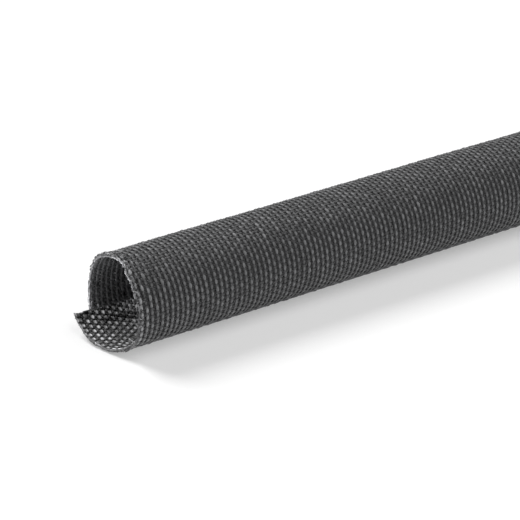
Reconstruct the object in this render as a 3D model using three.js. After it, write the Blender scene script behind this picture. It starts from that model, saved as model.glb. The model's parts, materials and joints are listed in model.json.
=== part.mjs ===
// A self-closing cable sleeve: one woven sheet, curled along its length into a tube.
// Its inner edge is the flap, and its outer edge is the lip, which passes just outside the flap.
// Lengths are in millimetres. X runs along the sleeve, Y points to its back and Z points up.
// Angles are in degrees around the tube, from straight down, and grow towards the back.

import * as THREE from "three";

// Driving dimensions

const tubeDiameter = 25;
const wallThickness = 1;
const sleeveLength = 1000;

const flapEdgeAngle = 57;
const overlapAngle = 6;
const lipGap = 1.6;
const lipSpread = 49.5;
const lipCurve = 1.5;

const lipLead = 4.1;
const leadStartAngle = -50;
const leadSpread = 100;

const facetAngle = 15;

// Finish

const yarnColour = 0x35363a;
const yarnRoughness = 0.6;
const yarnMetalness = 0;

// The radius of the sheet's outer face. It is constant round the tube, and past its start the
// lip rises by a power of the angle, so that it clears the flap's edge by lipGap.
function outerRadius(angle) {
  const opened = Math.max(0, angle - (flapEdgeAngle - lipSpread)) / lipSpread;
  return tubeDiameter / 2 + (wallThickness + lipGap) * opened ** lipCurve;
}

// How far the sheet has slid along the tube at an angle: none at the front, and a quarter
// of a sine wave up to lipLead under the lip, so both cut ends slant there by the same amount.
function slide(angle) {
  const share = THREE.MathUtils.clamp((angle - leadStartAngle) / leadSpread, 0, 1);
  return -lipLead * Math.sin((share * Math.PI) / 2);
}

// The angles of the creases between facets, from the flap's edge to the lip's edge. Creases
// lie evenly on both sides of straight down, so that one level facet meets the floor.
function creaseAngles() {
  const flapEdge = flapEdgeAngle - 360;
  const lipEdge = flapEdgeAngle + overlapAngle;
  const firstCrease = (Math.floor(flapEdge / facetAngle + 0.5) + 0.5) * facetAngle;
  const angles = [flapEdge];
  for (let angle = firstCrease; angle < lipEdge; angle += facetAngle) {
    if (angle > flapEdge) {
      angles.push(angle);
    }
  }
  angles.push(lipEdge);
  return angles;
}

// The place of a point of the sheet: along is the distance from the middle of the length,
// and depth is 0 on the outer face and 1 on the inner one.
function curledPoint(along, angle, depth) {
  const radius = outerRadius(angle) - depth * wallThickness;
  const turn = THREE.MathUtils.degToRad(angle);
  return new THREE.Vector3(along + slide(angle), radius * Math.sin(turn), -radius * Math.cos(turn));
}

// The sheet starts as a flat box, one unit wide for each facet and one unit thick, and every
// point of it is then carried to its place on the curl.
function curledSheet() {
  const angles = creaseAngles();
  const facets = angles.length - 1;
  const sheet = new THREE.BoxGeometry(sleeveLength, facets, 1, 1, facets, 1);
  const points = sheet.getAttribute("position");
  for (let index = 0; index < points.count; index += 1) {
    const angle = angles[Math.round(points.getY(index) + facets / 2)];
    const point = curledPoint(points.getX(index), angle, points.getZ(index) + 0.5);
    points.setXYZ(index, point.x, point.y, point.z);
  }
  sheet.deleteAttribute("normal");
  sheet.computeVertexNormals();
  return sheet;
}

// The origin lies below the middle of the sleeve, on the surface that it rests on.
function restOnOrigin(geometry) {
  geometry.computeBoundingBox();
  const box = geometry.boundingBox;
  const middle = box.getCenter(new THREE.Vector3());
  geometry.translate(-middle.x, -middle.y, -box.min.z);
  return geometry;
}

function yarnMaterial() {
  return new THREE.MeshStandardMaterial({
    color: yarnColour,
    roughness: yarnRoughness,
    metalness: yarnMetalness,
    flatShading: true,
  });
}

function cableSleeve() {
  const sleeve = new THREE.Mesh(restOnOrigin(curledSheet()), yarnMaterial());
  sleeve.name = "sleeve";
  const part = new THREE.Group();
  part.add(sleeve);
  return part;
}

export default cableSleeve();
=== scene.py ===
"""A self-closing woven cable sleeve of charcoal yarn, lying on a pale floor.

The sleeve is one woven sheet, curled along its length. Every piece is worked out in sheet space, where a point
is (along, across, height): along the sleeve from its near cut end, across the sheet from the flap's edge to the
lip's edge, and height above the middle of the wall. The curl then carries it to its place in the frame.
"""

import json
import logging
import math
from dataclasses import dataclass
from enum import Enum

import bpy
import numpy as np
from bpy.types import Light, Material, Node, NodeTree, Object
from mathutils import Matrix, Vector


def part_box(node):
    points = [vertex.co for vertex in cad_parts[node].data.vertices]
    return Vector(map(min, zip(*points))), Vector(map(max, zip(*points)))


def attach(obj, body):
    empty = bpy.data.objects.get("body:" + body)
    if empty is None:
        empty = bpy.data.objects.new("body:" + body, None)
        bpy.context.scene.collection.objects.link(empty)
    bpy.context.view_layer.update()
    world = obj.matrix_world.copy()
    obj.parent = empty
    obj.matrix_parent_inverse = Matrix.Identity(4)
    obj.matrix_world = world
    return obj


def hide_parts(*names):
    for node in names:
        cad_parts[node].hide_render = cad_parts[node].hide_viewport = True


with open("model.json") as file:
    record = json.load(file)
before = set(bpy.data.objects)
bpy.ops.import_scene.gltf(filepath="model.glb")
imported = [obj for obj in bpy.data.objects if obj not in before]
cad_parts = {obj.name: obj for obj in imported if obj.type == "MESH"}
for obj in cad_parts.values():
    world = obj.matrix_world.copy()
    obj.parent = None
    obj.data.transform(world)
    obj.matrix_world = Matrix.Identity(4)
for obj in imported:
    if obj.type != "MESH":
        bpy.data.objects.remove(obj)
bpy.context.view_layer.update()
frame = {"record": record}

MM = 0.001
NODE = "sleeve"
BODY = "root"
NEAR_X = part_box(NODE)[0].x
AXIS_Y = frame["record"]["mounts"][0]["pos_m"][1]

Array = np.ndarray
Span = tuple[float, float]
Triple = tuple[float, float, float]

log = logging.getLogger("sleeve")


class YarnSet(Enum):
    """The two sets of yarns in the weave."""

    RINGS = "rings"
    LENGTHWISE = "lengthwise"


class CutEnd(Enum):
    """The two cut ends of the sleeve. The value is the way out of the sheet, along its length."""

    NEAR = -1
    FAR = 1


# Mesh making


@dataclass
class Surface:
    """Points and four-sided faces, with values for each point that the finishes read."""

    points: Array
    quads: Array
    crown: Array
    yarn: Array
    tone: Array

    @staticmethod
    def joined(parts: list["Surface"]) -> "Surface":
        """Joins surfaces into one.

        Args:
            parts: the surfaces, in order.

        Returns:
            One surface with all their points and faces.
        """
        starts = np.cumsum([0] + [len(part.points) for part in parts[:-1]])
        values = [
            (part.points, part.quads + start, part.crown, part.yarn, part.tone)
            for part, start in zip(parts, starts)
        ]
        return Surface(*map(np.concatenate, zip(*values)))

    def piece(self, name: str, finish: Material) -> Object:
        """Makes the mesh object, and lets it stand for the sleeve's node.

        Args:
            name: the piece's name.
            finish: its material.

        Returns:
            The new object, which sits at the origin.
        """
        mesh = bpy.data.meshes.new(name)
        mesh.vertices.add(len(self.points))
        mesh.vertices.foreach_set("co", self.points.astype(np.float32).ravel())
        mesh.loops.add(self.quads.size)
        mesh.loops.foreach_set("vertex_index", self.quads.astype(np.int32).ravel())
        mesh.polygons.add(len(self.quads))
        mesh.polygons.foreach_set("loop_start", np.arange(0, self.quads.size, 4, dtype=np.int32))
        mesh.update(calc_edges=True)
        mesh.shade_smooth()
        for label, values in (("crown", self.crown), ("tone", self.tone)):
            layer = mesh.attributes.new(label, "FLOAT", "POINT")
            layer.data.foreach_set("value", values.astype(np.float32))
        layer = mesh.attributes.new("yarn", "FLOAT_VECTOR", "POINT")
        layer.data.foreach_set("vector", self.yarn.astype(np.float32).ravel())
        mesh.materials.append(finish)
        piece = bpy.data.objects.new(name, mesh)
        bpy.context.scene.collection.objects.link(piece)
        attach(piece, BODY)
        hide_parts(NODE)
        log.info("%s: %d triangles", name, 2 * len(self.quads))
        return piece


# The curled sheet


def bell(value: Array, middle: float, spread: float) -> Array:
    """A bell curve, 1 at its middle."""
    return np.exp(-0.5 * ((value - middle) / spread) ** 2)


def ramp(value: Array, start: float, end: float) -> Array:
    """A ramp from 0 at its start to 1 at its end, and level beyond them."""
    return np.clip((value - start) / (end - start), 0, 1)


def points(*parts: Array) -> Array:
    """Stacks three arrays into points, along a new last axis."""
    return np.stack(np.broadcast_arrays(*parts), axis=-1)


@dataclass(frozen=True)
class Curl:
    """How the flat sheet is curled into the tube. Angles are in degrees from straight down towards the back."""

    tube_radius: float = 12.5 * MM
    wall: float = 1.0 * MM
    stand_proud: float = 0.3 * MM
    length: float = 1000 * MM
    flap_edge_angle: float = 57.0
    overlap_angle: float = 6.0
    lip_gap: float = 1.6 * MM
    lip_spread: float = 49.5
    lip_curve: float = 1.5
    lip_lead: float = 4.1 * MM
    lead_angles: Span = (-50.0, 50.0)
    floor_clearance: float = 0.05 * MM
    cut_bells: tuple[Triple, ...] = (
        (-303, 14, -0.9 * MM),
        (-245, 18, 0.4 * MM),
        (-172, 14, 1.25 * MM),
        (10, 22, -0.75 * MM),
    )
    cut_depth: float = 12 * MM
    lip_corner_pull: float = 3.3
    lip_corner_size: float = 2 * MM
    lip_edge_dip: float = 4.8
    lip_dip_length: float = 6.5 * MM
    lip_dip_width: float = 6 * MM
    lip_slack: float = 0.15
    lip_slack_length: float = 20 * MM
    lip_slack_angles: Span = (-20.0, 30.0)
    wave_lengths: Span = (7.1 * MM, 11.3 * MM)
    wave_height: float = 0.035 * MM
    floor_sink: float = 0.03 * MM
    angle_steps: int = 1800

    def middle_radius(self, angle: Array) -> Array:
        """The middle radius at each angle: constant round the tube, and rising by a power of the angle on the lip."""
        opened = np.maximum(0, angle - (self.flap_edge_angle - self.lip_spread)) / self.lip_spread
        return (self.tube_radius + self.stand_proud - self.wall / 2
                + (self.wall + self.lip_gap) * opened**self.lip_curve)

    def slide(self, angle: Array) -> Array:
        """How far the sheet has slid along X at each angle: a quarter of a sine wave, up to the lip's lead."""
        return -self.lip_lead * np.sin(ramp(angle, *self.lead_angles) * math.pi / 2)

    def axis_height(self) -> float:
        """How far the tube's axis is above the floor."""
        return self.tube_radius + self.stand_proud + self.floor_clearance

    def cut_wander(self, angle: Array, along: Array) -> Array:
        """How far the near cut strays along X: bells (middle, spread, shift) of the angle, which fade inwards."""
        shift = sum(size * bell(angle, middle, spread) for middle, spread, size in self.cut_bells)
        return shift * np.exp(-np.maximum(along, 0) / self.cut_depth)

    def slack(self, angle: Array, along: Array) -> Array:
        """How far the lip's loose weave spreads along X: in proportion to the place, and fading with its square."""
        spread = self.lip_slack * ramp(angle, *self.lip_slack_angles) * np.maximum(along, 0)
        return spread * np.exp(-((along / self.lip_slack_length) ** 2))

    def angles(self) -> Array:
        """Close angles from the flap's edge to the lip's edge."""
        return np.linspace(self.flap_edge_angle - 360, self.flap_edge_angle + self.overlap_angle, self.angle_steps)

    def arc(self) -> Array:
        """The distance across the sheet to each of those angles: the running sum of its short chords."""
        angle = self.angles()
        turn = np.radians(angle)
        radius = self.middle_radius(angle)
        chords = np.hypot(np.diff(radius * np.sin(turn)), np.diff(radius * np.cos(turn)))
        return np.concatenate([[0], np.cumsum(chords)])

    def angle_at(self, across: Array) -> Array:
        """The angle at each distance across the sheet."""
        return np.interp(across, self.arc(), self.angles())

    def across_at(self, angle: Array) -> Array:
        """The distance across the sheet to each angle."""
        return np.interp(angle, self.angles(), self.arc())

    def width(self) -> float:
        """The sheet's width, from edge to edge."""
        return float(self.arc()[-1])

    def place(self, sheet: Array) -> Array:
        """Carries points from sheet space to the frame. A point past an edge goes straight on around the tube.

        Args:
            sheet: points (along, across, height), in metres, in the last axis.

        Returns:
            Points (x, y, z) in the frame, in the same layout.
        """
        arc = self.arc()
        along, across, height = sheet[..., 0], sheet[..., 1], sheet[..., 2]
        within = np.clip(across, 0, arc[-1])
        angle = self.angle_at(within)
        radius = self.middle_radius(angle)
        angle = angle + np.degrees((across - within) / radius)
        angle = angle + self.lip_turn(np.maximum(along, 0), np.maximum(arc[-1] - across, 0))
        turn = np.radians(angle)
        radius = radius + height + self.unevenness(along, turn)
        shift = self.lip_lead + self.slide(angle) + self.cut_wander(angle, along) + self.slack(angle, along)
        return points(
            NEAR_X + along + shift,
            AXIS_Y + radius * np.sin(turn),
            np.maximum(self.axis_height() - radius * np.cos(turn), self.floor_clearance),
        )

    def lip_turn(self, along: Array, from_edge: Array) -> Array:
        """The angle added near the lip's near corner: its edge dips by an exponential, and its tip is pulled up."""
        dip = np.exp(-((along / self.lip_dip_length) ** 4) - from_edge / self.lip_dip_width)
        return self.lip_corner_pull * np.exp(-(along + from_edge) / self.lip_corner_size) - self.lip_edge_dip * dip

    def unevenness(self, along: Array, turn: Array) -> Array:
        """Slight waves in the wall, away from the floor: a few slow sine waves along and around the tube.

        Args:
            along: distances along the sleeve.
            turn: angles around it, in radians.

        Returns:
            The height that the waves add.
        """
        short, long = self.wave_lengths
        waves = np.sin(along / short + 2 * turn) + np.sin(along / long - 3 * turn + 1)
        away_from_floor = 0.5 - 0.5 * np.cos(turn)
        return self.wave_height * waves * away_from_floor - self.floor_sink * (1 - away_from_floor)


@dataclass(frozen=True)
class Weave:
    """The plain weave: rings of thick yarn around the tube, and thinner lengthwise yarns over and under them."""

    curl: Curl
    ring_count: int = 667
    lengthwise_count: int = 84
    edge: float = 0.35 * MM
    turn_reach: float = 0.05 * MM
    ring_half_width: float = 0.5 * MM
    ring_outside: float = 0.47 * MM
    ring_inside: float = 0.5 * MM
    outside_dip: float = 0.3 * MM
    inside_dip: float = 0.44 * MM
    outside_sharpness: float = 2.2
    inside_sharpness: float = 3.2
    ring_sway: float = 0.05 * MM
    ring_sway_length: float = 2.3 * MM
    ring_stray: float = 0.03 * MM
    turn_shares: Span = (0.7, 0.6)
    yarn_shades: Span = (0.94, 1.06)
    float_shades: Span = (0.68, 1.3)
    darkest_float: float = 0.3
    float_stray: float = 0.035 * MM
    side_evenness: float = 0.55
    lip_evenness: float = 0.75
    disturbed_angle: float = -148.0
    disturbed_spread: float = 26.0
    disturbed_depth: float = 5 * MM
    disturbed_stray: float = 4.0
    disturbed_shade: float = 1.5
    lengthwise_half_width: float = 0.24 * MM
    lengthwise_flare: float = 0.42 * MM
    lengthwise_half_height: float = 0.07 * MM
    lengthwise_lift: float = 0.055 * MM
    lengthwise_crimp: float = 0.225 * MM
    ragged_cut: float = 0.35 * MM
    # the cut rings are paler, as frayed yarn, and paler still on the lip, as painted light where the end lamp falls
    cut_lightness: float = 0.35
    lip_cut_lightness: float = 1.5
    inner_shade: float = 0.37 * MM
    # painted shade: the share of the crown left inside the tube, away from the lip where the end lamp falls
    inside_painted_shade: float = 0.3
    # painted light and shade on the inner side: tone factors for deep yarns and floats, inside the tube and on the
    # lip
    inner_ground: float = 5.6
    inner_float: float = 0.2
    lip_ground: float = 0.22
    lip_float: float = 1.5
    # where the end lamp falls on the lip, which the painted light and shade follow
    lip_light_until: float = 11.5 * MM
    lip_light_fade: float = 3 * MM
    lip_light_angles: Span = (-150.0, -95.0)
    seed: int = 7

    def ring_pitch(self) -> float:
        """From one ring to the next, along the sleeve."""
        return self.curl.length / self.ring_count

    def lengthwise_pitch(self) -> float:
        """From one lengthwise yarn to the next, across the sheet, between its two edges."""
        return (self.curl.width() - 2 * self.edge) / self.lengthwise_count

    def lengthwise_place(self, yarn: Array) -> Array:
        """How far across the sheet a lengthwise yarn lies."""
        return self.edge + (yarn + 0.5) * self.lengthwise_pitch()

    def lengthwise_width(self, along: Array) -> Array:
        """Half the width of the lengthwise yarns: least on the rings, and more between them by a squared cosine."""
        return self.lengthwise_half_width + self.lengthwise_flare * np.cos(math.pi * along / self.ring_pitch()) ** 2

    def ring_span(self, across: Array, ring: Array) -> tuple[Array, Array]:
        """The height of a ring's middle, and half its thickness.

        A cosine wave has its crests where a lengthwise yarn passes inside the ring, and its troughs where one passes
        outside. Raised to a power, its two halves give narrow dips, which make room for those yarns.

        Args:
            across: distances across the sheet.
            ring: ring numbers.

        Returns:
            The height above the middle of the wall, and half the thickness.
        """
        wave = np.cos(math.pi * ((across - self.edge) / self.lengthwise_pitch() - 0.5 + ring))
        outer = self.ring_outside - self.outside_dip * (0.5 - 0.5 * wave) ** self.outside_sharpness
        inner = self.inside_dip * (0.5 + 0.5 * wave) ** self.inside_sharpness - self.ring_inside
        return (outer + inner) / 2, (outer - inner) / 2

    def lengthwise_height(self, along: Array, yarn: Array) -> Array:
        """The height of a lengthwise yarn's middle: the opposite wave, low under every second ring."""
        wave = np.cos(math.pi * (along / self.ring_pitch() - 0.5 + yarn))
        return self.lengthwise_lift - self.lengthwise_crimp * wave

    def crown(self, sheet: Array) -> Array:
        """How near points are to a face of the wall, from 0 in the middle to 1 on the face.

        The finishes paint the yarn darker where this is low, as shade in the recesses. Inside the tube the rise
        starts deeper, so that only the floats are painted light there and the ground between them is painted shade.
        It is also weaker past the front wall, by a ramp of the angle: painted shade inside the tube, away from the
        lip where the end lamp falls.

        Args:
            sheet: points (along, across, height) in the last axis.

        Returns:
            The value at each point.
        """
        height = sheet[..., 2]
        # painted shade inside the tube, lighter towards the lip where the end lamp falls
        painted_lip_light = self.inside_painted_shade + (1 - self.inside_painted_shade) * self.towards_lip(sheet)
        outside = ramp(height, 0, self.curl.wall / 2)
        return np.where(height > 0, outside, painted_lip_light * self.near_inner_face(height))

    def towards_lip(self, sheet: Array) -> Array:
        """Where the end lamp falls, for painted light and shade: a ramp of the angle, from 0 on the back and
        the top to 1 on the lip, which fades deep inside.
        """
        depth = np.maximum(sheet[..., 0] - self.lip_light_until, 0)
        return ramp(self.curl.angle_at(sheet[..., 1]), *self.lip_light_angles) * np.exp(-depth / self.lip_light_fade)

    def disturbed(self, sheet: Array) -> Array:
        """How much the near cut has disturbed the weave: a bell over the front of the top, which fades inwards."""
        around = bell(self.curl.angle_at(sheet[..., 1]), self.disturbed_angle, self.disturbed_spread)
        return around * np.exp(-np.maximum(sheet[..., 0], 0) / self.disturbed_depth)

    def near_inner_face(self, height: Array) -> Array:
        """How near heights are to the inner face, from 0 where its shade ends to 1 on the face."""
        return ramp(-height, self.inner_shade, self.curl.wall / 2)

    def ground(self, sheet: Array) -> Array:
        """Painted light and shade on the inner side, and 1 outside. On the lip, where the end lamp falls, floats are
        painted lighter and the yarns that lie deep between them are painted darker, as shade. Inside the tube the
        deep yarns are painted lighter and the floats darker, which evens out the light and shade there.

        Args:
            sheet: points (along, across, height) in the last axis.

        Returns:
            A factor for the tone of each point.
        """
        height = sheet[..., 2]
        lip = self.towards_lip(sheet)
        deep = self.inner_ground + (self.lip_ground - self.inner_ground) * lip
        raised = self.inner_float + (self.lip_float - self.inner_float) * lip
        return np.where(height < 0, deep + (raised - deep) * self.near_inner_face(height), 1)


def swept_tubes(weave: Weave, path: Array, half_width: Array, half_height: Array,
                sides: int, tone: Array, seed: int) -> Surface:
    """Carries an ellipse along each path, and closes both ends.

    A point of a tube is the path's point, plus the sideways direction times half the width times the cosine of the
    angle around the yarn, plus the upward direction times half the height times the sine.

    Args:
        weave: the weave, whose curl places the points.
        path: the paths in sheet space, as yarns by steps by 3.
        half_width: half the yarn's width at each step, or at all of them.
        half_height: half its height, likewise.
        sides: how many sides a tube has, an even number.
        tone: the shade of each yarn, or of each of its steps.
        seed: where the yarns' grain starts.

    Returns:
        The tubes as one surface.
    """
    tangent = np.gradient(path, axis=1)
    tangent /= np.linalg.norm(tangent, axis=-1, keepdims=True)
    sideways = points(-tangent[..., 1], tangent[..., 0], 0)
    sideways /= np.maximum(np.linalg.norm(sideways, axis=-1, keepdims=True), 1e-9)
    upward = np.cross(tangent, sideways)
    around = math.pi / 2 + np.arange(sides) * 2 * math.pi / sides
    wide = np.broadcast_to(half_width, path.shape[:2])[..., None, None]
    high = np.broadcast_to(half_height, path.shape[:2])[..., None, None]
    sheet = (
        path[:, :, None]
        + sideways[:, :, None] * wide * np.cos(around)[:, None]
        + upward[:, :, None] * high * np.sin(around)[:, None]
    )
    yarns, steps = path.shape[:2]
    shade = np.broadcast_to(tone if tone.ndim == 2 else tone[:, None], (yarns, steps))
    numbers = np.arange(yarns * steps * sides).reshape(yarns, steps, sides)
    after = np.roll(numbers, -1, axis=2)
    walls = np.stack([numbers[:, :-1], numbers[:, 1:], after[:, 1:], after[:, :-1]], axis=-1).reshape(-1, 4)
    corners = [(0, first, first + 1, first + 2) for first in range(1, sides - 2, 2)]
    caps = [numbers[:, 0][:, list(corner)] for corner in corners]
    caps += [numbers[:, -1][:, list(corner[::-1])] for corner in corners]
    run = np.cumsum(np.linalg.norm(np.diff(path, axis=1, prepend=path[:, :1]), axis=-1), axis=1)
    shift = np.random.default_rng(seed).uniform(0, 50, yarns)
    grain = points((run / MM + shift[:, None])[..., None], np.cos(around) + shift[:, None, None], np.sin(around))
    return Surface(
        weave.curl.place(sheet).reshape(-1, 3),
        np.concatenate([walls, *caps]),
        weave.crown(sheet).ravel(),
        grain.reshape(-1, 3),
        (shade[..., None] * weave.ground(sheet)).ravel(),
    )


# The finishes


def fill(node: Node, values: dict) -> None:
    """Gives a node's inputs their values, by name or number."""
    for label, value in values.items():
        node.inputs[label].default_value = value


def add_node(tree: NodeTree, kind: str, inputs: dict | None = None, operation: str = "") -> Node:
    """Adds a shader node.

    Args:
        tree: the tree that it joins.
        kind: what kind of shader node it is.
        inputs: values for its inputs.
        operation: what it works out, if it is a node of mathematics.

    Returns:
        The node.
    """
    node = tree.nodes.new(f"ShaderNode{kind}")
    if operation:
        node.operation = operation
    fill(node, inputs or {})
    return node


def add_reader(tree: NodeTree, name: str) -> Node:
    """Adds a node that reads one of the values of a surface's points."""
    node = add_node(tree, "Attribute")
    node.attribute_name = name
    return node


def add_group(tree: NodeTree, group: NodeTree, inputs: dict) -> Node:
    """Adds a shader group to a material, with the material's own values."""
    node = add_node(tree, "Group")
    node.node_tree = group
    fill(node, inputs)
    return node


def connect(tree: NodeTree, *joints: tuple) -> None:
    """Links nodes, each time from (a node, its output) to (a node, its input)."""
    for source, output, target, into in joints:
        tree.links.new(source.outputs[output], target.inputs[into])


def new_group(name: str, inputs: tuple[str, ...], value: str) -> tuple[NodeTree, Node, Node]:
    """Makes an empty shader group that puts out a value and a normal.

    Args:
        name: the group's name.
        inputs: the names of its inputs, which are numbers.
        value: the name of the value.

    Returns:
        The group, the node with its inputs and the one with its outputs.
    """
    group = bpy.data.node_groups.new(name, "ShaderNodeTree")
    for label in inputs:
        group.interface.new_socket(label, in_out="INPUT", socket_type="NodeSocketFloat")
    group.interface.new_socket(value, in_out="OUTPUT", socket_type="NodeSocketFloat")
    group.interface.new_socket("Normal", in_out="OUTPUT", socket_type="NodeSocketVector")
    return group, group.nodes.new("NodeGroupInput"), group.nodes.new("NodeGroupOutput")


@dataclass(frozen=True)
class GrainGroup:
    """A shader group of fine filaments along a yarn, which every yarn finish uses."""

    name: str = "filament_grain"
    stretch: float = 0.35
    detail: float = 3.0
    depth: float = 0.04 * MM

    def tree(self) -> NodeTree:
        """Makes the group, or finds it if it is made already.

        Returns:
            A group with the inputs Scale and Relief and the outputs Streak and Normal.
        """
        if self.name in bpy.data.node_groups:
            return bpy.data.node_groups[self.name]
        group, given, out = new_group(self.name, ("Scale", "Relief"), "Streak")
        yarn = add_reader(group, "yarn")
        spread = add_node(group, "VectorMath", {1: (self.stretch, 1, 1)}, operation="MULTIPLY")
        noise = add_node(group, "TexNoise", {"Detail": self.detail})
        bump = add_node(group, "Bump", {"Distance": self.depth})
        connect(
            group,
            (yarn, "Vector", spread, 0),
            (spread, 0, noise, "Vector"),
            (given, "Scale", noise, "Scale"),
            (noise, "Fac", bump, "Height"),
            (given, "Relief", bump, "Strength"),
            (noise, "Fac", out, "Streak"),
            (bump, "Normal", out, "Normal"),
        )
        return group


@dataclass(frozen=True)
class CrossingGroup:
    """A shader group of the weave's crossings, for a wall that has no yarns of its own.

    The cosine of the place along, counted in rings, is high on the rings. Its product with the cosine of the place
    across, counted in lengthwise yarns, has one sign on the rings' floats and the other where they dip. The crown
    that it puts out sets the wall's colour as well as its bump, so the grooves and the dips are painted shade.
    """

    name: str = "weave_crossings"
    float_share: float = 0.62
    depth: float = 0.3 * MM

    def tree(self) -> NodeTree:
        """Makes the group.

        Returns:
            A group with the input Relief and the outputs Crown and Normal.
        """
        group, given, out = new_group(self.name, ("Relief",), "Crown")
        cell = add_reader(group, "yarn")
        parts = add_node(group, "SeparateXYZ")
        waves = [add_node(group, "Math", operation="COSINE") for _ in "XY"]
        ridge = add_node(group, "Math", operation="ABSOLUTE")
        crossing = add_node(group, "Math", operation="MULTIPLY")
        crown = add_node(group, "Math", {1: self.float_share}, operation="MULTIPLY_ADD")
        bump = add_node(group, "Bump", {"Distance": self.depth})
        for axis, wave in zip("XY", waves):
            phase = add_node(group, "Math", {1: math.pi, 2: -math.pi / 2}, operation="MULTIPLY_ADD")
            connect(group, (parts, axis, phase, 0), (phase, 0, wave, 0))
        connect(
            group,
            (cell, "Vector", parts, 0),
            (waves[0], 0, ridge, 0),
            (waves[0], 0, crossing, 0),
            (waves[1], 0, crossing, 1),
            (crossing, 0, crown, 0),
            (ridge, 0, crown, 2),
            (crown, 0, bump, "Height"),
            (given, "Relief", bump, "Strength"),
            (crown, 0, out, "Crown"),
            (bump, "Normal", out, "Normal"),
        )
        return group


@dataclass(frozen=True)
class Finish:
    """What the finishes of the dull polyester yarn share: its colour on the crowns and its darker colour in the
    recesses, which is painted shade, and how it takes the light.
    """

    name: str
    recess: Triple
    crown: Triple
    relief: float = 0.25
    roughness: float = 0.5
    specular: float = 0.5
    sheen: float = 0.25
    sheen_roughness: float = 0.4

    def start(self) -> tuple[Material, Node, Node]:
        """Starts the material.

        Returns:
            The material, its shader, and a mix that goes from the recess's colour to the crown's.
        """
        made = bpy.data.materials.new(self.name)
        made.use_nodes = True
        shader = made.node_tree.nodes["Principled BSDF"]
        fill(shader, {
            "Roughness": self.roughness,
            "Specular IOR Level": self.specular,
            "Sheen Weight": self.sheen,
            "Sheen Roughness": self.sheen_roughness,
        })
        # painted shade: a mix from the dark recess colour to the crown colour, by how near the yarn lies to a face
        colour = add_node(made.node_tree, "Mix")
        colour.data_type = "RGBA"
        fill(colour, {"A": (*self.recess, 1), "B": (*self.crown, 1)})
        return made, shader, colour


@dataclass(frozen=True)
class YarnFinish(Finish):
    """A yarn that is painted dark at its sides, as shade, lighter on its crowns, and streaked by its filaments."""

    crown_from: float = 0.35
    crown_to: float = 0.95
    streaks: float = 0.35
    streak_from: float = 0.3
    streak_to: float = 0.7
    grain_scale: float = 3.0

    def material(self) -> Material:
        """Makes the material from the crown, tone and yarn values of the points.

        Returns:
            The material.
        """
        made, shader, colour = self.start()
        tree = made.node_tree
        grain = add_group(tree, GrainGroup().tree(), {"Scale": self.grain_scale, "Relief": self.relief})
        height = add_reader(tree, "crown")
        # painted shade: the yarn takes its dark recess colour where it lies deep in the weave
        painted_recess_shade = add_node(tree, "MapRange", {"From Min": self.crown_from, "From Max": self.crown_to})
        tone = add_reader(tree, "tone")
        streak = add_node(tree, "MapRange", {
            "From Min": self.streak_from,
            "From Max": self.streak_to,
            "To Min": 1 - self.streaks,
            "To Max": 1 + self.streaks,
        })
        shade = add_node(tree, "Math", operation="MULTIPLY")
        tinted = add_node(tree, "VectorMath", operation="SCALE")
        connect(
            tree,
            (height, "Fac", painted_recess_shade, "Value"),
            (painted_recess_shade, "Result", colour, "Factor"),
            (grain, "Streak", streak, "Value"),
            (streak, "Result", shade, 0),
            (tone, "Fac", shade, 1),
            (colour, "Result", tinted, 0),
            (shade, 0, tinted, "Scale"),
            (tinted, 0, shader, "Base Color"),
            (grain, "Normal", shader, "Normal"),
        )
        return made


@dataclass(frozen=True)
class WallFinish(Finish):
    """The same yarns on a wall whose relief is only the rings' ridges; its grooves and dips are painted shade."""

    def material(self) -> Material:
        """Makes the material.

        Returns:
            The material.
        """
        made, shader, colour = self.start()
        weave = add_group(made.node_tree, CrossingGroup().tree(), {"Relief": self.relief})
        connect(
            made.node_tree,
            (weave, "Crown", colour, "Factor"),
            (colour, "Result", shader, "Base Color"),
            (weave, "Normal", shader, "Normal"),
        )
        return made


# The woven sheet


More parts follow.
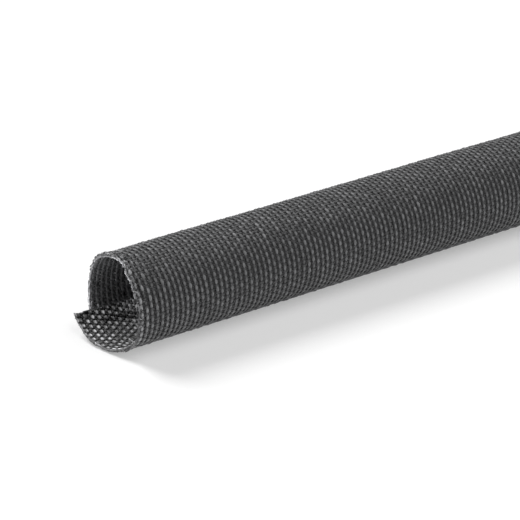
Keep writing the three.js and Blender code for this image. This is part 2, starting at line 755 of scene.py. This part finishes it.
@dataclass(frozen=True)
class WovenStretch:
    """A stretch of the sleeve whose yarns are all there, over and under each other."""

    weave: Weave
    name: str
    first_ring: int
    last_ring: int
    ring_steps: int = 4
    lengthwise_steps: int = 3
    ring_sides: int = 6
    lengthwise_sides: int = 4
    turn_steps: int = 9

    def shades(self, yarns: YarnSet, numbers: Array) -> Array:
        """The shade of each numbered yarn of a set: a factor near 1, slightly lighter or darker than the next."""
        seed = self.weave.seed if yarns is YarnSet.RINGS else self.weave.seed + 1
        return np.random.default_rng(seed).uniform(*self.weave.yarn_shades, self.weave.ring_count + 1)[numbers]

    def rings(self) -> Surface:
        """The rings, each a wave across the whole sheet that sways a little along the sleeve. Their floats differ in
        height and shade, more so where the cut has disturbed them, and less on the lip and on the tube's sides."""
        weave = self.weave
        numbers = np.arange(self.first_ring, self.last_ring)
        steps = weave.lengthwise_count * self.ring_steps + 1
        across = np.linspace(weave.edge, weave.curl.width() - weave.edge, steps)
        ring, place = np.meshgrid(numbers, across, indexing="ij")
        chance = np.random.default_rng(weave.seed)
        strays = chance.normal(0, weave.ring_stray, weave.ring_count)
        phases = chance.uniform(0, 2 * math.pi, weave.ring_count)
        sway = strays[ring] + weave.ring_sway * np.sin(place / weave.ring_sway_length + phases[ring])
        height, thickness = weave.ring_span(place, ring)
        floats = chance.uniform(*weave.float_shades, (weave.ring_count, weave.lengthwise_count // 2 + 2))
        lifts = chance.normal(0, weave.float_stray, floats.shape)
        float_number = np.floor(((place - weave.edge) / weave.lengthwise_pitch() + ring % 2) / 2).astype(int)
        path = points((ring + 0.5) * weave.ring_pitch() + sway, place, height)
        stir = weave.disturbed(path)
        path[..., 2] += lifts[ring, float_number] * (1 + weave.disturbed_stray * stir)
        lip = weave.towards_lip(path)
        side = np.sin(np.radians(weave.curl.angle_at(place))) ** 2
        uneven = (floats[ring, float_number] - 1) * (1 + weave.disturbed_shade * stir)
        uneven *= (1 - weave.lip_evenness * lip) * (1 - weave.side_evenness * side)
        tone = self.shades(YarnSet.RINGS, numbers)[:, None] * np.maximum(1 + uneven, weave.darkest_float)
        # cut rings paler as frayed yarn, and paler still on the lip: painted light where the end lamp falls
        from_end = np.minimum(ring, weave.ring_count - 1 - ring)
        tone *= 1 + weave.cut_lightness * (1 + weave.lip_cut_lightness * lip) * np.exp(-from_end)
        return swept_tubes(weave, path, weave.ring_half_width, thickness, self.ring_sides, tone, self.first_ring)

    def lengthwise(self) -> Surface:
        """The lengthwise yarns, each a wave along the stretch."""
        weave = self.weave
        numbers = np.arange(weave.lengthwise_count)
        steps = (self.last_ring - self.first_ring) * self.lengthwise_steps + 1
        along = weave.ring_pitch() * np.linspace(self.first_ring, self.last_ring, steps)
        yarn, place = np.meshgrid(numbers, along, indexing="ij")
        path = points(place, weave.lengthwise_place(yarn), weave.lengthwise_height(place, yarn))
        past_cut = np.random.default_rng(weave.seed + 2).uniform(0, weave.ragged_cut, (2, weave.lengthwise_count))
        path[:, 0, 0] -= past_cut[0] if self.first_ring == 0 else 0
        path[:, -1, 0] += past_cut[1] if self.last_ring == weave.ring_count else 0
        return swept_tubes(weave, path, weave.lengthwise_width(place), weave.lengthwise_half_height,
                           self.lengthwise_sides, self.shades(YarnSet.LENGTHWISE, numbers), seed=1)

    def turns(self) -> Surface:
        """The turns at the sheet's edges, where the yarn of one ring runs back into the next: half ellipses."""
        weave = self.weave
        numbers = np.arange(self.first_ring, self.last_ring - 1)
        turn = np.linspace(0, math.pi, self.turn_steps)
        ring, bend = np.meshgrid(numbers, turn, indexing="ij")
        outward = weave.turn_reach * np.sin(bend)
        at_lip = ring % 2 == 1
        path = points(
            (ring + 1 - 0.5 * np.cos(bend)) * weave.ring_pitch(),
            np.where(at_lip, weave.curl.width() - weave.edge + outward, weave.edge - outward),
            0,
        )
        width_share, height_share = weave.turn_shares
        return swept_tubes(weave, path, width_share * weave.ring_half_width, height_share * weave.ring_outside,
                           self.ring_sides, self.shades(YarnSet.RINGS, numbers), self.first_ring)

    def build(self, glossy: Material, matt: Material) -> list[Object]:
        """Makes the two pieces of the stretch, with a glossy finish on its rings."""
        return [
            Surface.joined([self.rings(), self.turns()]).piece(f"{self.name}_rings", glossy),
            self.lengthwise().piece(f"{self.name}_lengthwise_yarns", matt),
        ]


@dataclass(frozen=True)
class WovenWall:
    """A long stretch of the same sheet as one closed wall. Its faces have the ridges of the rings, and its finish has
    the crossings of the yarns."""

    weave: Weave
    name: str
    first_ring: int
    last_ring: int
    ridge: float = 0.44 * MM
    groove: float = 0.22 * MM
    sunk_end: float = 0.1 * MM
    facets_across: int = 42

    def surface(self) -> Surface:
        """The closed wall: a grid for each face, with two points to a ring, high on it and low between rings. Its
        ends lie sunk in the rings of the stretches before and after it."""
        weave = self.weave
        half_rings = np.arange(2 * self.first_ring - 1, 2 * self.last_ring + 2)
        along = weave.ring_pitch() * half_rings / 2
        across = np.linspace(weave.edge, weave.curl.width() - weave.edge, self.facets_across + 1)
        place, over = np.meshgrid(along, across, indexing="ij")
        profile = np.where(half_rings % 2 == 1, self.ridge, self.groove)
        profile[[0, -1]] = self.sunk_end
        height = np.broadcast_to(profile[:, None], over.shape)
        rows, columns = place.shape
        top = np.arange(rows * columns).reshape(rows, columns)
        low = top + rows * columns
        quads = [
            self.faces(top[:-1, :-1], top[:-1, 1:], top[1:, 1:], top[1:, :-1]),
            self.faces(low[:-1, :-1], low[1:, :-1], low[1:, 1:], low[:-1, 1:]),
            self.faces(top[:-1, 0], top[1:, 0], low[1:, 0], low[:-1, 0]),
            self.faces(top[1:, -1], top[:-1, -1], low[:-1, -1], low[1:, -1]),
            self.faces(top[0, 1:], top[0, :-1], low[0, :-1], low[0, 1:]),
            self.faces(top[-1, :-1], top[-1, 1:], low[-1, 1:], low[-1, :-1]),
        ]
        sheet = np.stack([points(place, over, height), points(place, over, -height)])
        cells = points(place / weave.ring_pitch(), (over - weave.edge) / weave.lengthwise_pitch(), 0)
        return Surface(
            weave.curl.place(sheet).reshape(-1, 3),
            np.concatenate(quads),
            weave.crown(sheet).ravel(),
            np.tile(cells.reshape(-1, 3), (2, 1)),
            np.ones(sheet[..., 0].size),
        )

    @staticmethod
    def faces(*corners: Array) -> Array:
        """Stacks four grids of point numbers into a list of faces."""
        return np.stack(corners, axis=-1).reshape(-1, 4)

    def build(self, finish: Material) -> list[Object]:
        """Makes the wall's piece."""
        return [self.surface().piece(self.name, finish)]


@dataclass(frozen=True)
class FrayedEnd:
    """One cut end of the sleeve: its fused edge, the cut filaments of its yarns, and loose threads on its rim."""

    weave: Weave
    end: CutEnd
    sides: int = 4
    filaments: int = 5
    filament_steps: int = 4
    filament_radius: float = 0.06 * MM
    filament_taper: float = 0.3
    filament_shades: Span = (0.4, 1.4)
    root: float = 0.3 * MM
    scatter: float = 0.4 * MM
    reaches: Span = (0.27 * MM, 0.72 * MM)
    floor_reach: float = 0.35
    spread: float = 0.22 * MM
    rise: float = 0.264 * MM
    threads: int = 190
    thread_steps: int = 6
    thread_radii: Span = (0.065 * MM, 0.13 * MM)
    thread_lengths: Span = (0.525 * MM, 1.5 * MM)
    thread_slant: float = 0.6
    thread_height: float = 0.42 * MM
    thread_bows: Span = (0.05 * MM, 0.4 * MM)
    thread_band: float = 2.2 * MM
    thread_band_shares: Span = (-0.1, 1)
    thread_shades: Span = (0.05, 1.2)
    # painted light: the cut yarn is lighter on the front of the top and on the lip, where the lamps fall
    light_angle: float = -148.0
    light_spread: float = 30.0
    rim_light: float = 0.3
    top_light: float = 0.8
    lip_light: float = 0.45
    lip_light_angles: Span = (-40.0, 10.0)
    fused_sides: int = 6
    fused_step: float = 0.5 * MM
    fused_inset: float = 0.04 * MM
    fused_stray: float = 0.13 * MM
    fused_sag: float = 0.04 * MM
    fused_half_widths: Span = (0.168 * MM, 0.364 * MM)
    fused_half_heights: Span = (0.3 * MM, 0.44 * MM)
    fused_shades: Span = (0.3, 1.4)
    filament_seed: int = 20
    thread_seed: int = 30
    fused_seed: int = 40

    def draws(self, seed: int) -> np.random.Generator:
        """This end's own random draws."""
        return np.random.default_rng(self.weave.seed + self.end.value + seed)

    def lightness(self, across: Array) -> Array:
        """How light the cut yarn is: pale all round, and lighter on the front of the top, by a bell curve of
        the angle, and on the lip: painted light, where the lamps fall.
        """
        angle = self.weave.curl.angle_at(across)
        return (self.rim_light + self.top_light * bell(angle, self.light_angle, self.light_spread)
                + self.lip_light * ramp(angle, *self.lip_light_angles))

    def fused_edge(self) -> Surface:
        """The cut edge, where the yarns are fused: an uneven strand across the whole sheet."""
        chance = self.draws(self.fused_seed)
        across = np.arange(self.fused_step, self.weave.curl.width() - self.fused_step, self.fused_step)
        count = len(across)
        inward = self.fused_inset + chance.normal(0, self.fused_stray, count)
        path = points(self.from_cut(inward), across, chance.normal(0, self.fused_sag, count))[None]
        wide = chance.uniform(*self.fused_half_widths, count)
        high = chance.uniform(*self.fused_half_heights, count)
        tone = self.lightness(across) * chance.uniform(*self.fused_shades, count)
        return swept_tubes(self.weave, path, wide, high, self.fused_sides, tone[None], seed=6)

    def top(self, across: Array) -> Array:
        """How near the tube's top a place across the sheet is, from 0 on the floor to 1, by a cosine of its angle."""
        return 0.5 - 0.5 * np.cos(np.radians(self.weave.curl.angle_at(across)))

    def from_cut(self, inward: Array) -> Array:
        """The place along the sleeve at a distance inward from this end's cut."""
        edge = 0 if self.end is CutEnd.NEAR else self.weave.curl.length
        return edge - self.end.value * inward

    def cut_filaments(self) -> Surface:
        """The filaments: short curves that leave each yarn's end and spread sideways by the square of their run."""
        weave = self.weave
        chance = self.draws(self.filament_seed)
        yarn = np.repeat(np.arange(weave.lengthwise_count), self.filaments)
        count = len(yarn)
        run = np.linspace(0, 1, self.filament_steps)[None, :]
        start_across = weave.lengthwise_place(yarn) + chance.uniform(-self.scatter, self.scatter, count)
        start_height = chance.uniform(-self.scatter, self.scatter, count)
        reach = chance.uniform(*self.reaches, count)
        reach *= self.floor_reach + (1 - self.floor_reach) * self.top(start_across)
        aside = chance.normal(0, self.spread, count)
        rise = chance.normal(0, self.rise, count)
        path = points(
            self.from_cut(self.root - reach[:, None] * run),
            start_across[:, None] + aside[:, None] * run**2,
            start_height[:, None] + rise[:, None] * run**2,
        )
        radius = self.filament_radius * (1 - self.filament_taper * run)
        tone = chance.uniform(*self.filament_shades, count) * self.lightness(start_across)
        return swept_tubes(weave, path, radius, radius, self.sides, tone, seed=3)

    def loose_threads(self) -> Surface:
        """The threads: short arcs that bow off the outer face by half a sine wave, most of them near the top."""
        weave = self.weave
        chance = self.draws(self.thread_seed)
        tries = chance.uniform(0, weave.curl.width(), 4 * self.threads)
        across = tries[chance.uniform(0, 1, tries.size) < self.top(tries) ** 2][:self.threads]
        count = len(across)
        run = np.linspace(0, 1, self.thread_steps)[None, :]
        heading = chance.uniform(-0.5, 0.5, count) * math.pi
        length = chance.uniform(*self.thread_lengths, count)
        bow = chance.uniform(*self.thread_bows, count)
        inward = self.thread_band * chance.uniform(*self.thread_band_shares, count) ** 2
        slanted = self.thread_slant * length * np.sin(heading)
        path = points(
            self.from_cut(inward[:, None] + slanted[:, None] * (run - 0.5)),
            across[:, None] + (length * np.cos(heading))[:, None] * (run - 0.5),
            self.thread_height + bow[:, None] * np.sin(math.pi * run),
        )
        tone = chance.uniform(*self.thread_shades, count) ** 2 * np.exp(-inward / self.thread_band)
        radius = chance.uniform(*self.thread_radii, count)[:, None]
        return swept_tubes(weave, path, radius, radius, self.sides, tone, seed=4)

    def build(self, finish: Material) -> list[Object]:
        """Makes the two pieces of this end's loose yarn."""
        name = self.end.name.lower()
        return [
            Surface.joined([self.cut_filaments(), self.fused_edge()]).piece(f"{name}_end_filaments", finish),
            self.loose_threads().piece(f"{name}_end_threads", finish),
        ]


@dataclass(frozen=True)
class LooseStrand:
    """A yarn that has sprung loose at the near cut, low on the front. Each arc has a start, a bend and an end, as
    (millimetres along, angle, millimetres above the middle of the wall)."""

    weave: Weave
    arcs: tuple[tuple[Triple, ...], ...] = (
        ((-0.3, -64, 0.3), (-0.7, -42, 0.3), (1.6, -24, 0.66)),
        ((0.2, -45, -2.1), (0.7, -50, -0.6), (-0.1, -45, 0.2)),
    )
    thickness: float = 0.16 * MM
    tone: float = 0.36
    steps: int = 9
    sides: int = 6

    def build(self, finish: Material) -> list[Object]:
        """Makes the strand: each arc is a quadratic curve, with the weights (1 - t)^2, 2 t (1 - t) and t^2.

        Args:
            finish: the cut yarn's material.

        Returns:
            The piece, in a list.
        """
        run = np.linspace(0, 1, self.steps)
        weights = points((1 - run) ** 2, 2 * run * (1 - run), run**2)
        arcs = weights @ np.array(self.arcs)
        path = points(arcs[..., 0] * MM, self.weave.curl.across_at(arcs[..., 1]), arcs[..., 2] * MM)
        tone = np.full(len(path), self.tone)
        tubes = swept_tubes(self.weave, path, self.thickness, self.thickness, self.sides, tone, seed=5)
        return [tubes.piece("near_loose_strand", finish)]


# The studio


@dataclass(frozen=True)
class Studio:
    """The pale floor, the soft light and the camera at the photograph's angle."""

    floor_size: float = 12.0
    floor_white: float = 0.62
    floor_roughness: float = 0.9
    floor_specular: float = 0.1
    floor_glow: float = 0.366
    sky: float = 0.08
    key_strength: float = 3.2
    key_spread: float = 36.0
    key_from: Triple = (-0.1, 0.62, 0.68)
    fill_strength: float = 1.7
    fill_spread: float = 60.0
    fill_from: Triple = (0.35, -0.5, 0.7)
    end_lamp_power: float = 31.0
    end_lamp_from: Triple = (-0.62, 0.3, 0.72)
    end_lamp_distance: float = 0.6
    end_lamp_cone: float = 3.0
    end_lamp_blend: float = 0.6
    end_lamp_radius: float = 0.01
    end_lamp_aim: Triple = (-2 * MM, 4 * MM, -8 * MM)
    azimuth: float = 34.34
    elevation: float = 26.62
    distance: float = 0.623125
    lens: float = 170.2
    frame_pixels: int = 520
    near_end_pixel: Span = (114.0, 302.4)
    nearest: float = 0.01
    farthest: float = 50.0

    def floor(self) -> None:
        """A level sheet at z = 0, which isn't part of the object."""
        half = self.floor_size / 2
        mesh = bpy.data.meshes.new("floor")
        mesh.from_pydata([(-half, -half, 0), (half, -half, 0), (half, half, 0), (-half, half, 0)], [], [(0, 1, 2, 3)])
        paint = bpy.data.materials.new("floor_white")
        paint.use_nodes = True
        fill(paint.node_tree.nodes["Principled BSDF"], {
            "Base Color": (self.floor_white, self.floor_white, self.floor_white, 1),
            "Roughness": self.floor_roughness,
            "Specular IOR Level": self.floor_specular,
            "Emission Color": (1, 1, 1, 1),
            "Emission Strength": self.floor_glow,
        })
        mesh.materials.append(paint)
        floor = bpy.data.objects.new("floor", mesh)
        bpy.context.scene.collection.objects.link(floor)

    def light(self, near_end: Vector, pieces: list[Object]) -> None:
        """A dim even sky, a soft key light from above and behind, a softer fill light from the front, and a narrow
        lamp that lights only the sleeve, where its near end is open.

        Args:
            near_end: the middle of the near end, in the frame.
            pieces: the sleeve's pieces.
        """
        world = bpy.data.worlds.new("studio")
        world.use_nodes = True
        fill(world.node_tree.nodes["Background"], {"Color": (1, 1, 1, 1), "Strength": self.sky})
        bpy.context.scene.world = world
        self.distant_lamp("key", self.key_strength, self.key_spread, self.key_from)
        self.distant_lamp("fill", self.fill_strength, self.fill_spread, self.fill_from)
        data = bpy.data.lights.new("end_lamp", "SPOT")
        data.energy = self.end_lamp_power
        data.shadow_soft_size = self.end_lamp_radius
        data.spot_size = math.radians(self.end_lamp_cone)
        data.spot_blend = self.end_lamp_blend
        target = near_end + Vector(self.end_lamp_aim)
        lamp = self.hang(data, self.end_lamp_from,
                         target + self.end_lamp_distance * Vector(self.end_lamp_from).normalized())
        lit = bpy.data.collections.new("lit_by_end_lamp")
        for piece in pieces:
            lit.objects.link(piece)
        lamp.light_linking.receiver_collection = lit

    def distant_lamp(self, name: str, strength: float, spread: float, towards: Triple) -> None:
        """Adds a distant lamp.

        Args:
            name: its name.
            strength: its irradiance, in watts for each square metre.
            spread: the angle that it fills, in degrees.
            towards: the direction in which it is seen.
        """
        data = bpy.data.lights.new(name, "SUN")
        data.energy = strength
        data.angle = math.radians(spread)
        self.hang(data, towards, Vector((0, 0, 1)))

    @staticmethod
    def hang(data: Light, towards: Triple, place: Vector) -> Object:
        """Puts a lamp in the studio, where the camera doesn't see it.

        Args:
            data: the lamp.
            towards: the direction in which the object sees it.
            place: where it hangs.

        Returns:
            The lamp's object.
        """
        lamp = bpy.data.objects.new(data.name, data)
        lamp.location = place
        lamp.rotation_mode = "QUATERNION"
        lamp.rotation_quaternion = Vector(towards).to_track_quat("Z", "Y")
        lamp.visible_camera = False
        bpy.context.scene.collection.objects.link(lamp)
        return lamp

    def camera(self, near_end: Vector) -> None:
        """Puts the camera so that the middle of the near end falls on its pixel of the photograph.

        Args:
            near_end: the middle of the near end, in the frame.
        """
        turn, tilt = math.radians(self.azimuth), math.radians(self.elevation)
        ahead = Vector((math.sin(turn) * math.cos(tilt), math.cos(turn) * math.cos(tilt), -math.sin(tilt)))
        right = Vector((math.cos(turn), -math.sin(turn), 0))
        up = right.cross(ahead)
        data = bpy.data.cameras.new("camera")
        data.lens = self.lens
        data.clip_start = self.nearest
        data.clip_end = self.farthest
        metres_per_pixel = self.distance * data.sensor_width / self.lens / self.frame_pixels
        middle = self.frame_pixels / 2
        aside = (self.near_end_pixel[0] - middle) * metres_per_pixel
        above = (middle - self.near_end_pixel[1]) * metres_per_pixel
        camera = bpy.data.objects.new("camera", data)
        place = near_end - ahead * self.distance - right * aside - up * above
        camera.matrix_world = Matrix.Translation(place) @ Matrix((right, up, -ahead)).transposed().to_4x4()
        bpy.context.scene.collection.objects.link(camera)
        bpy.context.scene.camera = camera

    def build(self, near_end: Vector, pieces: list[Object]) -> None:
        """Makes the floor, the lights and the camera.

        Args:
            near_end: the middle of the near end, in the frame.
            pieces: the sleeve's pieces.
        """
        bpy.context.scene.view_settings.view_transform = "Standard"
        self.floor()
        self.light(near_end, pieces)
        self.camera(near_end)
        log.info("studio: floor, light and camera")


@dataclass(frozen=True)
class Sleeve:
    """The whole sleeve: yarns at both ends, a ridged wall between them, and frayed cut ends. The finest yarns are in
    the first few rings."""

    weave: Weave
    fine_rings: int = 12
    near_rings: int = 94
    far_rings: int = 8

    def near_end(self) -> Vector:
        """The middle of the round part's near end."""
        return Vector((NEAR_X + self.weave.curl.lip_lead, AXIS_Y, self.weave.curl.axis_height()))

    def build(self) -> list[Object]:
        """Makes every piece in order, from the near end to the far one.

        Returns:
            The pieces.
        """
        weave = self.weave
        # painted shade: each recess colour is the yarn deep in the weave, darker than its crown
        ring = YarnFinish("ring_yarn", recess=(0.031, 0.031, 0.032), crown=(0.163, 0.164, 0.168),
                          crown_from=0.45, crown_to=0.9, roughness=0.5, sheen=0.15, specular=0.3).material()
        matt = YarnFinish("lengthwise_yarn", recess=(0.028, 0.028, 0.029), crown=(0.112, 0.113, 0.116),
                          crown_from=0.5, crown_to=0.68, roughness=0.75, specular=0.25).material()
        cut = YarnFinish("cut_filament", recess=(0.25, 0.25, 0.26), crown=(0.35, 0.35, 0.36),
                         streaks=0.15, roughness=0.7).material()
        # painted shade: the wall's colours are darker than the yarns', for the shadows the yarns cast on each other
        wall = WallFinish("woven_wall", recess=(0.016, 0.016, 0.017), crown=(0.087, 0.088, 0.09),
                          relief=0.9, specular=0.25).material()
        front = (self.fine_rings + self.near_rings) // 2
        middle = (self.near_rings + weave.ring_count - self.far_rings) // 2
        far = weave.ring_count - self.far_rings
        return [
            *WovenStretch(weave, "near", 0, self.fine_rings, ring_steps=6, lengthwise_steps=4,
                          ring_sides=8).build(ring, matt),
            *WovenStretch(weave, "front", self.fine_rings, front).build(ring, matt),
            *WovenStretch(weave, "next", front, self.near_rings).build(ring, matt),
            *WovenWall(weave, "middle_wall", self.near_rings, middle).build(wall),
            *WovenWall(weave, "back_wall", middle, far).build(wall),
            *WovenStretch(weave, "far", far, weave.ring_count).build(ring, matt),
            *FrayedEnd(weave, CutEnd.NEAR).build(cut),
            *FrayedEnd(weave, CutEnd.FAR).build(cut),
            *LooseStrand(weave).build(cut),
        ]


def main() -> None:
    """Builds the sleeve and its studio."""
    logging.basicConfig(level=logging.INFO, format="%(name)s: %(message)s")
    sleeve = Sleeve(Weave(Curl()))
    pieces = sleeve.build()
    Studio().build(sleeve.near_end(), pieces)


if __name__ == "__main__":
    main()
